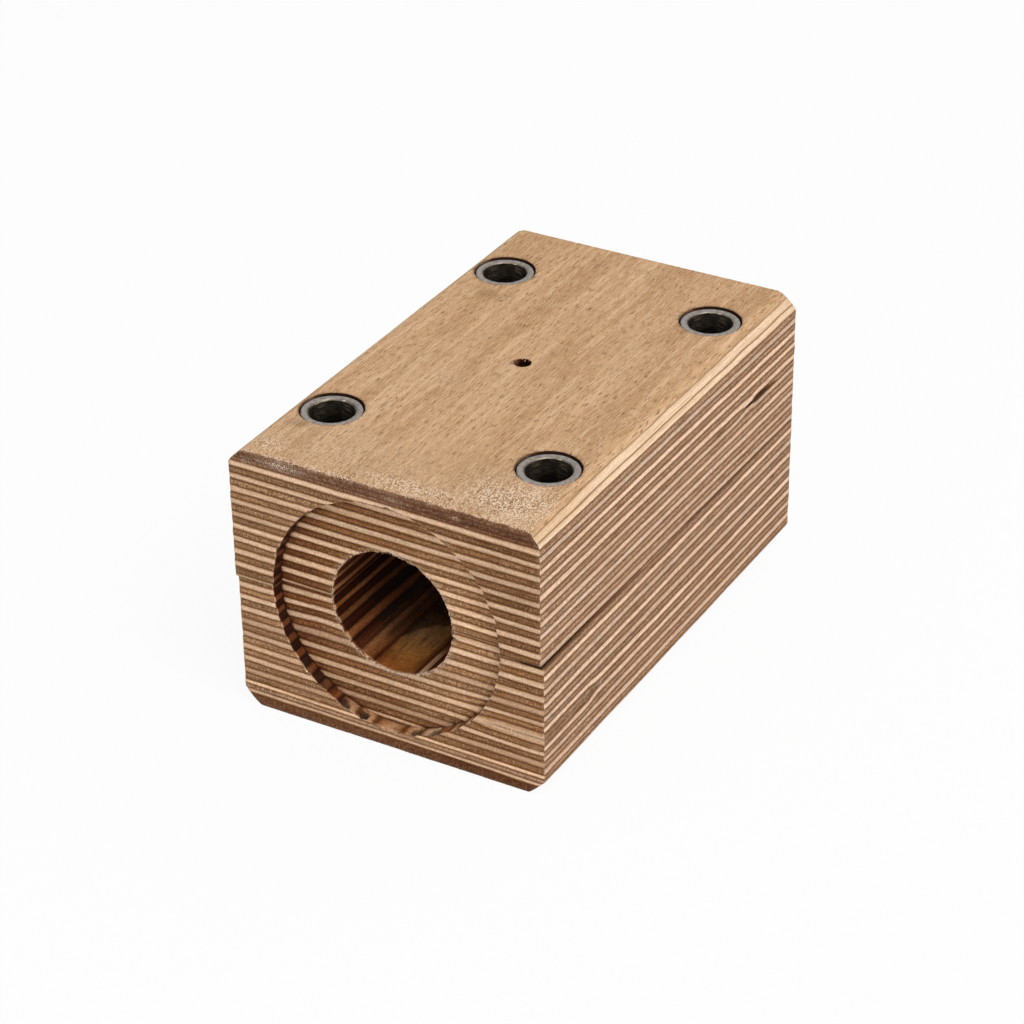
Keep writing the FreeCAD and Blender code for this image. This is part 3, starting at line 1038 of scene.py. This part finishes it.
class Shader(Nodes):
    """A material and its surface shader."""

    def __init__(self, name):
        self.material = bpy.data.materials.new(name)
        self.material.use_nodes = True
        super().__init__(self.material.node_tree)
        self.surface = self.tree.nodes["Principled BSDF"]

    def give(self, inputs):
        """Feeds the surface shader."""
        for key, value in inputs.items():
            self.feed(self.surface.inputs[key], value)

    def finish(self, colour, roughness, height, relief, constants):
        """The finished material; relief is the bump's height in millimetres."""
        normal = self.node("ShaderNodeBump", {"Strength": 1.0, "Distance": relief * MM, "Height": height})
        self.give({"Base Color": colour, "Roughness": roughness, "Normal": normal, **constants})
        return self.material


WHITE = (1.0, 1.0, 1.0, 1.0)

# Beech colours, in full studio light; long plies have their grain along the shaft.
SIDE_LONG = linear(248, 214, 186)
SIDE_LONG_DEEP = linear(226, 188, 158)
SIDE_CROSS = linear(240, 204, 172)
SIDE_CROSS_DEEP = linear(218, 178, 143)
END_LONG = linear(168, 123, 81)
END_CROSS = linear(180, 139, 106)
END_DARK = linear(99, 59, 29)
END_PALE = linear(208, 172, 140)
FACE_TAN = linear(207, 166, 125)
FACE_DEEP = linear(190, 148, 106)
FACE_PALE = linear(232, 195, 156)
FLECK = linear(122, 80, 44)
GLUE = linear(91, 53, 25)
TORN = linear(254, 231, 205)
# Dark of grime, which also serves as painted shade in hollows, gaps and corners.
GRIME_AND_SHADE = linear(34, 22, 16)

# Shares of light that oil-soaked wood keeps, how much more of it end grain takes, and the power it adds.
OIL_TINT = (0.37, 0.19, 0.085)
OIL_IN_ENDS = 1.75
OIL_POWER = 0.35

# Plies whose grain doesn't run as their turn would have it: one under the top's face, one above the base.
SECOND_FACE_PLY = 1
SOILED_PLY = LOWER_PLY_OFFSET + 2

# Plies whose side grain is as dull as end grain, with how much it is so.
DULL_PLIES = {SOILED_PLY: 1.0, LOWER_PLY_OFFSET + 5: 0.55, LOWER_PLY_OFFSET + 13: 0.5}

# Casts: warm and cool plies, face plies where a chamfer cuts them, and the polished ply of the bore.
WARM_CAST = (1.0, 0.975, 0.94, 1.0)
COOL_CAST = (0.98, 1.0, 1.03, 1.0)
SLANT_CREAM = (1.0, 1.02, 0.95, 1.0)
POLISHED = (0.98, 0.82, 0.46, 1.0)

# Share by which the brightening mark lightens the wood; on the recess floor it is painted light.
BRIGHTENING_LIFT = 0.26

# Share of light that the end grain of the face plies keeps.
FACE_PLY_SHADE = (0.62, 0.56, 0.62, 1.0)
BASE_PLY_SHADE = (0.45, 0.34, 0.28, 1.0)

# How far apart in the noise the grain of different plies may be taken.
GRAIN_SHIFT = (90.0, 90.0, 90.0)


class Grain:
    """Where a point of the plywood lies: its ply, how its grain runs there, and which grain shows."""

    def __init__(self, s):
        self.s = s
        self.place = s.millimetres()
        x, y, z = s.parts(self.place)
        self.near_front = s.step(y, FRONT + 42.0, FRONT + 12.0)
        ply = s.attribute("ply")
        self.number = s.math("FLOOR", ply)
        share = s.math("FRACT", ply)
        self.passed = s.math("MODULO", self.number, float(LOWER_PLY_OFFSET)) + share
        turned_over = self.is_ply(SECOND_FACE_PLY) + self.is_ply(SOILED_PLY)
        self.cross = s.math("ABSOLUTE", s.math("MODULO", self.number, 2.0) - turned_over)
        top_skin = s.math("LESS_THAN", self.number, len(UPPER_FACE_GLUE) - 0.5)
        self.skin = top_skin + self.is_ply(LOWER_PLY_OFFSET)
        self.away = s.math("MINIMUM", share, 1.0 - share)
        self.ragged = (s.noise(self.place, (0.8, 0.8, 0.5), 4.0, 0.7) - 0.5) * 0.34
        chance = s.node("ShaderNodeTexWhiteNoise", {"W": self.number}, 1, noise_dimensions="1D")
        self.bright, self.warm, _ = s.parts(chance)
        normal = s.node("ShaderNodeNewGeometry", (), "Normal")
        normal_x, normal_y, normal_z = s.parts(s.vector("ABSOLUTE", normal))
        self.cut = s.step(normal_x * self.cross + normal_y * (1.0 - self.cross), 0.3, 0.8)
        dull = sum(self.is_ply(number) * amount for number, amount in DULL_PLIES.items())
        self.end = s.math("MAXIMUM", self.cut, dull * s.step(normal_y, 0.3, 0.7))
        self.slanted = s.step(normal_z, 0.25, 0.55)
        self.creamy = self.slanted * self.skin * (1.0 - self.end)
        self.outer = s.step(normal_z, 0.5, 0.62) * s.math("LESS_THAN", self.passed, 0.94)
        along = s.mix_vector(self.cross, self.place, s.compose(y, x, z))
        self.along = s.vector("ADD", along, s.vector("MULTIPLY", chance, GRAIN_SHIFT))

    def is_ply(self, number):
        """1 in the ply of that number, otherwise 0."""
        return self.s.math("COMPARE", self.number, float(number), 0.5)


def side_grain(s, grain):
    """Pale grain cut along, and the height of its fibres."""
    streak = s.noise(grain.along, (1.0, 0.03, 2.2), 3.0, 0.6)
    fibre = s.noise(grain.along, (4.5, 0.16, 5.5), 2.0, 0.6)
    mottle = s.noise(grain.along, (1.5, 0.7, 1.5), 3.0, 0.7)
    deep = s.mix(grain.cross, SIDE_LONG_DEEP, SIDE_CROSS_DEEP)
    colour = s.coats(
        s.mix(grain.cross, SIDE_LONG, SIDE_CROSS),
        (streak, 0.4, 0.68, 1.0, deep),
        (mottle, 0.48, 0.7, 0.6, deep),
        (fibre, 0.53, 0.7, 0.5, END_LONG))
    colour = s.mix(grain.slanted * grain.near_front * 0.35, colour, FACE_TAN)
    beside = s.mix(grain.cross, END_CROSS, END_LONG)
    border = (grain.away + grain.ragged, 0.36, 0.05, 0.95, beside, 1.0 - grain.skin * 0.75)
    return s.coats(colour, border), fibre


def end_grain(s, grain):
    """Brown grain cut across: streaks along the ply and pores, and the height of those."""
    streaks = s.noise(grain.place, (0.12, 0.12, 3.3), 3.0, 0.65)
    pores = s.noise(grain.along, (2.1, 2.1, 3.0), 3.0, 0.7)
    ticks = s.noise(grain.along, (2.9, 2.9, 0.8), 2.0, 0.6)
    patch = s.noise(grain.place, (0.11, 0.11, 0.3))
    strong = s.math("MAXIMUM", s.step(patch, 0.4, 0.62, 0.5, 1.0), grain.skin)
    colour = s.coats(
        s.mix(grain.cross, END_LONG, END_CROSS),
        (streaks, 0.46, 0.66, 0.75, END_DARK),
        (pores, 0.5, 0.66, 0.9, END_PALE, strong),
        (pores, 0.48, 0.34, 0.9, END_DARK, strong),
        (ticks, 0.54, 0.7, 0.8, END_PALE, strong))
    shade = s.mix(grain.skin, WHITE, FACE_PLY_SHADE)
    shade = s.mix(grain.is_ply(LOWER_PLY_OFFSET), shade, BASE_PLY_SHADE)
    return s.tint(colour, shade), pores


def face_grain(s, grain):
    """The outer faces: tan in bands of growth rings, with dark pores and pale fibres, and their height."""
    across, _, _ = s.parts(grain.along)
    wander = s.noise(grain.along, (0.035, 0.009, 0.1), 3.0, 0.6)
    rings = s.math("SINE", across * 0.3 + wander * 26.0)
    soft = s.noise(grain.along, (0.7, 0.035, 0.1), 3.0, 0.6)
    pores = s.noise(grain.along, (4.1, 0.34, 1.0), 1.5)
    fibres = s.noise(grain.along, (4.0, 0.24, 1.0), 3.0, 0.7)
    colour = s.coats(
        FACE_TAN,
        (rings, -0.9, 0.9, 0.75, FACE_DEEP),
        (soft, 0.5, 0.7, 0.75, FACE_DEEP),
        (soft, 0.5, 0.32, 0.65, FACE_PALE),
        (fibres, 0.5, 0.64, 0.65, FACE_PALE),
        (fibres, 0.47, 0.33, 0.32, FLECK),
        (pores, 0.61, 0.68, 0.9, FLECK))
    return colour, fibres - pores


def glue_lines(s, grain):
    """Glue between plies, from 0 to 1: broad in the end grain beside it, and a thin line."""
    broad = s.step(grain.away - grain.ragged, 0.34, 0.1, 0.0, 0.62) * grain.end
    line = s.math("MAXIMUM", broad, s.step(grain.away, 0.12, 0.04, 0.0, 0.72))
    return line * (s.step(grain.passed, 0.45, 0.6, 0.0, 0.8) + s.step(grain.passed, 1.45, 1.6, 0.0, 0.2))


def soak(s, colour, oil, end):
    """A colour as darkened by oil, of which end grain takes up more."""
    wet = oil * (s.step(oil, 0.35, 0.95, 0.1, 1.0) * (1.0 - end) + end * OIL_IN_ENDS)
    power = wet * OIL_POWER + 1.0
    channels = s.parts(colour, "ShaderNodeSeparateColor")
    kept = [channel ** power * tint ** wet for channel, tint in zip(channels, OIL_TINT)]
    return s.node("ShaderNodeCombineColor", enumerate(kept))


def plywood():
    """Beech plywood by ply: pale side grain, brown end grain, flecked face, glue lines and stains."""
    s = Shader("plywood")
    grain = Grain(s)
    side, fibre = side_grain(s, grain)
    ends, pores = end_grain(s, grain)
    face, flecks = face_grain(s, grain)
    line = glue_lines(s, grain)
    wood = s.mix(grain.end, side, ends)
    wood = s.tint(wood, s.mix(grain.warm, WARM_CAST, COOL_CAST))
    wood = s.tint(wood, s.step(grain.bright, 0.0, 1.0, 0.83, 1.1))
    wood = s.mix(grain.creamy, wood, s.tint(side, SLANT_CREAM))
    wood = s.mix(line, wood, GLUE)
    wood = s.mix(grain.outer, wood, face)
    speck = s.step(s.noise(grain.place, (2.3, 1.4, 2.3), 2.0, 0.7), 0.3, 0.7, 0.8, 1.2)
    sand = s.step(s.noise(grain.place, (4.2, 3.0, 4.2), 2.0, 0.7), 0.3, 0.7, 0.85, 1.15)
    wood = s.tint(wood, s.mix(s.math("MAXIMUM", grain.outer, grain.creamy), speck, sand))
    # Lighter where the brightening mark says; on the recess floor this is painted light.
    wood = s.tint(wood, s.attribute("bare") * BRIGHTENING_LIFT + 1.0)

    fresh, oil = s.attribute("fresh"), s.attribute("oil")
    fuzz = s.noise(grain.place, (4.4, 1.9, 4.4), 2.0, 0.6)
    wood = s.coats(wood, (fuzz, 0.48, 0.41, 0.85, FLECK, fresh), (fuzz, 0.51, 0.56, 1.0, TORN, fresh))
    wood = soak(s, wood, oil, grain.cut)
    bottom = grain.is_ply(LOWER_PLY_OFFSET + BORE_LOWEST_PLY)
    wood = s.mix(bottom * s.step(oil, 0.35, 0.6), wood, s.tint(wood, POLISHED))
    # Grime darkens the wood, and so does painted shade where the marks carry it.
    wood = s.mix(s.attribute("grime") * s.step(fuzz, 0.2, 0.55, 0.6, 1.0), wood, GRIME_AND_SHADE)

    relief = fibre * 0.4 + pores * grain.end + flecks * grain.outer + fuzz * fresh - line * 0.6
    return s.finish(wood, 0.78 - oil * 0.36, relief, 0.12, {"Specular IOR Level": 0.16})


def torn_wood():
    """Pale loose fibres."""
    s = Shader("torn_wood")
    speck = s.noise(s.millimetres(), (1.4, 1.4, 1.4))
    colour = s.coats(TORN, (speck, 0.35, 0.7, 1.0, SIDE_LONG_DEEP))
    return s.finish(colour, 0.85, speck, 0.05, {"Specular IOR Level": 0.2})


STEEL = linear(166, 160, 154)
STEEL_DULL = linear(141, 134, 128)
STEEL_INSIDE = linear(116, 106, 95)
STEEL_SOOT = linear(66, 57, 48)
STEEL_STAIN = linear(96, 80, 66)
# Colour of the painted reflections on the inner wall.
STEEL_SHEEN = linear(206, 188, 164)
# Colour of the painted shade deep inside a sleeve.
STEEL_PAINTED_SHADE = linear(30, 28, 28)

# Way from a sleeve's axis to the middle of its inner wall that lies far from the camera, between two bands of
# painted reflection.
FAR_WALL_X, FAR_WALL_Y = -0.5, 0.866


def steel():
    """Dull turned steel: fine rings on the ends; within, stained and darker, with painted reflections beside
    the far wall and painted shade deeper down.
    """
    s = Shader("sleeve_steel")
    place = s.millimetres()
    x, y, z = s.parts(place)
    radius = s.math("SQRT", x * x + y * y)
    rings = s.noise(s.compose(radius, z, 0.0), (7.0, 3.0, 1.0))
    blotch = s.noise(place, (0.9, 0.9, 0.5), 4.0, 0.6)
    speck = s.noise(place, (3.0, 3.0, 3.0), 3.0, 0.6)
    streaks = s.noise(place, (0.4, 0.4, 3.0), 3.0, 0.6)
    within = s.attribute("within")
    ends = s.coats(STEEL, (blotch, 0.4, 0.65, 1.0, STEEL_DULL), (speck, 0.6, 0.75, 0.45, STEEL_STAIN))
    facing = (x * FAR_WALL_X + y * FAR_WALL_Y) / radius
    # Bands beside the far wall where the painted reflection shows.
    beside = s.step(facing, 0.5, 0.8) * s.step(facing, 0.99, 0.88)
    # Inside: stains and soot, painted reflections beside the far wall, and painted shade deeper down.
    wall = s.coats(
        STEEL_INSIDE,
        (streaks, 0.4, 0.6, 1.0, STEEL_SOOT),
        (streaks, 0.5, 0.58, 1.0, STEEL_SHEEN, beside),
        (z, -2.0, -7.0, 0.92, STEEL_PAINTED_SHADE))
    roughness = s.step(within, 0.0, 1.0, 0.6, 0.36) + blotch * 0.2
    return s.finish(s.mix(within, ends, wall), roughness, rings + speck * 0.5, 0.02, {"Metallic": 1.0})


SLEEVE_TURNS = 128
SLEEVE_ROUND = 0.25
SLEEVE_SHARP_ANGLE = math.radians(30)


def sleeve_piece(name, bevel, seed):
    """A turned tube with rounded outer edges and a bevel inside each end, in its own axis's frame."""
    low, high = SLEEVE_BOXES[name]
    inner, outer = SLEEVE_INNER_RADIUS, SLEEVE_RADIUS
    top = [(inner, -bevel - below, 1.0) for below in (14.0, 5.0, 1.2, 0.0)]
    top += [
        (inner + 0.5 * bevel, -0.45 * bevel, 1.0),
        (inner + bevel, 0.0, 0.4),
        ((inner + bevel + outer) / 2, 0.0, 0.0),
        (outer - SLEEVE_ROUND, 0.0, 0.0),
        (outer - 0.3 * SLEEVE_ROUND, -0.3 * SLEEVE_ROUND, 0.0),
        (outer, -SLEEVE_ROUND, 0.0),
        (outer, -4.0, 0.3)]
    bottom = [(radius, low[2] - high[2] - height, within) for radius, height, within in reversed(top)]
    radius, height, within = np.array(top + bottom).T
    turn = (np.arange(SLEEVE_TURNS) * 2 * math.pi / SLEEVE_TURNS)[:, None]
    points, faces = grid(np.cos(turn) * radius, np.sin(turn) * radius, height, wrap=(1, 1))
    points[:, 2] += 0.025 * noise(points, (1.2, 1.2, 4.0), seed) - 0.03
    values = {"within": np.tile(within, SLEEVE_TURNS)}
    piece = make_object(f"steel_{name}", points, faces, values, SLEEVE_SHARP_ANGLE)
    piece.location = Vector((*SLEEVE_AXES[name], high[2])) * MM
    return piece


class Splinters:
    """Loose fibres: slender spindles gathered in one mesh."""

    SIDES = 4

    def __init__(self, seed):
        self.random = np.random.default_rng(seed)
        self.points = []
        self.faces = []

    def add(self, root, direction, length, width):
        """A fibre that starts just inside its root and thins to a point."""
        along = np.array(direction, float)
        along /= np.linalg.norm(along)
        across = np.cross(along, self.random.normal(size=3))
        across /= np.linalg.norm(across)
        other = np.cross(along, across)
        root = np.array(root, float) - 0.15 * along
        bend = self.random.normal(scale=0.12, size=3) * length
        start = len(self.points)
        turn = np.arange(self.SIDES) * 2 * math.pi / self.SIDES
        middle = root + 0.45 * length * along + bend * 0.3
        self.points += [root]
        self.points += [middle + width / 2 * (math.cos(t) * across + math.sin(t) * other) for t in turn]
        self.points += [root + length * along + bend]
        tip = start + self.SIDES + 1
        for side in range(self.SIDES):
            a, b = start + 1 + side, start + 1 + (side + 1) % self.SIDES
            self.faces += [(start, b, a), (a, b, tip)]


# Fibres round the bore's and recess's rims: radius, place along the shaft and count.
RIM_FIBRES = ((BORE_RADIUS, FLOOR_LEVEL, 170), (RECESS_RADIUS, FRONT, 45))

# Tufts of fibres on the top's front edge: centre, reach and count.
EDGE_FIBRES = ((-25.0, 4.0, 90), (17.5, 3.0, 70), (30.0, 4.0, 80), (0.0, 18.0, 150))

# Fibres in the oil hole, by their place across it, and on the right side under the parting, with lengths.
HOLE_FIBRES = (-0.45, -0.1, 0.35)
PARTING_FIBRES = ((6.4, 1.4), (13.4, 1.0), (26.6, 1.2), (-17.8, 2.2))


def loose_fibres():
    """Fibres torn up along the bore's and recess's rims, the front top edge and the oil hole."""
    made = Splinters(5)
    random = made.random
    for radius, y, count in RIM_FIBRES:
        for turn in random.uniform(0.0, 2 * math.pi, count):
            out = np.array((math.cos(turn), 0.0, math.sin(turn)))
            round_the_rim = np.array((-out[2], 0.0, out[0])) * random.choice((-1.0, 1.0))
            root = (0.0, y, PARTING_LEVEL) + (radius + random.uniform(0.1, 0.3)) * out
            lean = round_the_rim - out * random.uniform(-0.2, 0.5) - (0.0, random.uniform(0.1, 0.4), 0.0)
            made.add(root, lean, random.uniform(0.3, 0.8), random.uniform(0.06, 0.12))
    top = UPPER_HIGH[2]
    clusters = [random.normal(centre, reach, count) for centre, reach, count in EDGE_FIBRES]
    for x in np.clip(np.concatenate(clusters), UPPER.left + CHAMFER, UPPER.right - CHAMFER):
        root = (x, FRONT + random.uniform(0.1, 0.5), top - random.uniform(0.1, 0.5))
        lean = random.normal(scale=0.6, size=3) + (0.0, -0.5, 0.4)
        made.add(root, lean, random.uniform(0.25, 0.65), random.uniform(0.06, 0.12))
    for share in HOLE_FIBRES:
        root = (OIL_HOLE_X + share * OIL_HOLE_RADIUS, OIL_HOLE_Y + 0.92 * OIL_HOLE_RADIUS, top - 0.1)
        made.add(root, (0.1 * share, -1.0, -0.35), random.uniform(0.5, 0.9), 0.14)
    for y, length in PARTING_FIBRES:
        made.add((UPPER.right + 0.1, y, PARTING_LEVEL - 0.7), (0.25, 1.0, 0.3), length, 0.25)
    return make_object("torn_fibres", made.points, made.faces)


# Camera, found by fitting the block's edges to the photograph.
CAMERA_PLACE = (309.4, -542.55, 403.21)
CAMERA_TARGET = (-1.35, -3.35, 29.78)
CAMERA_ROLL = math.radians(-0.744)
CAMERA_LENS = 109.85


def add_camera():
    """The photograph's view."""
    place, target = Vector(CAMERA_PLACE) * MM, Vector(CAMERA_TARGET) * MM
    forward = (target - place).normalized()
    level = forward.cross(Vector((0, 0, 1))).normalized()
    right = math.cos(CAMERA_ROLL) * level + math.sin(CAMERA_ROLL) * level.cross(forward)
    up = right.cross(forward)
    data = bpy.data.cameras.new("camera")
    data.lens = CAMERA_LENS
    data.clip_start = 0.01
    camera = link("camera", data)
    turned = Matrix((right, up, -forward)).transposed().to_4x4()
    camera.matrix_world = Matrix.Translation(place) @ turned
    bpy.context.scene.camera = camera


# Lamp: the way to it, its distance and width in metres, and how bright it and the surround are.
KEY_DIRECTION = (0.51, -0.30, 0.80)
KEY_DISTANCE = 3.0
KEY_SIZE = 2.08
KEY_LEVEL = 0.66
SKY_LEVEL = 0.45


def add_light():
    """A large soft lamp from the upper right, and an even white surround."""
    data = bpy.data.lights.new("key", "AREA")
    data.shape = "DISK"
    data.size = KEY_SIZE
    data.energy = KEY_LEVEL * (math.pi * KEY_DISTANCE) ** 2
    direction = Vector(KEY_DIRECTION).normalized()
    lamp = link("key", data)
    lamp.location = direction * KEY_DISTANCE
    lamp.rotation_euler = direction.to_track_quat("Z", "Y").to_euler()

    world = bpy.data.worlds.new("surround")
    world.use_nodes = True
    n = Nodes(world.node_tree)
    seen = n.math("MAXIMUM", n.light_path("Is Camera Ray"), n.light_path("Is Glossy Ray"))
    level = n.node("ShaderNodeMapRange", {"Value": seen, "To Min": SKY_LEVEL, "To Max": 1.0})
    background = n.tree.nodes["Background"]
    n.feed(background.inputs["Color"], WHITE)
    n.feed(background.inputs["Strength"], level)
    bpy.context.scene.world = world


# Floor: half its width and its drop below the base, in metres, its grey, and how white the camera sees it.
FLOOR_SIZE = 6.0
FLOOR_DROP = 0.0002
FLOOR_GREY = (0.9, 0.9, 0.9, 1.0)
FLOOR_SHARE = 0.92


def add_floor():
    """A pale floor that the camera sees near white, with the block's soft shadow on it."""
    mesh = bpy.data.meshes.new("floor")
    work = bmesh.new()
    bmesh.ops.create_grid(work, x_segments=2, y_segments=2, size=FLOOR_SIZE)
    work.to_mesh(mesh)
    work.free()
    floor = link("floor", mesh)
    floor.location.z = -FLOOR_DROP
    s = Shader("floor")
    s.give({"Base Color": FLOOR_GREY, "Roughness": 1.0, "Specular IOR Level": 0.0})
    share = s.light_path("Is Camera Ray") * FLOOR_SHARE
    glow = s.node("ShaderNodeEmission", {"Color": WHITE, "Strength": 1.0})
    plain = Value(s, s.surface.outputs[0])
    mixed = s.node("ShaderNodeMixShader", enumerate((share, plain, glow)))
    s.feed(s.tree.nodes["Material Output"].inputs["Surface"], mixed)
    floor.data.materials.append(s.material)


bpy.context.scene.view_settings.view_transform = "Standard"
wood = plywood()
for each_half in (UPPER, LOWER):
    dress(HalfBuilder(each_half).build(), each_half.node, wood)
dress(loose_fibres(), None, torn_wood())
tube = steel()
for order, sleeve in enumerate(SLEEVE_NAMES):
    worn = WORN_BEVELS.get(sleeve, SLEEVE_BEVEL)
    dress(sleeve_piece(sleeve, worn, 100 + order), sleeve, tube)
add_camera()
add_light()
add_floor()
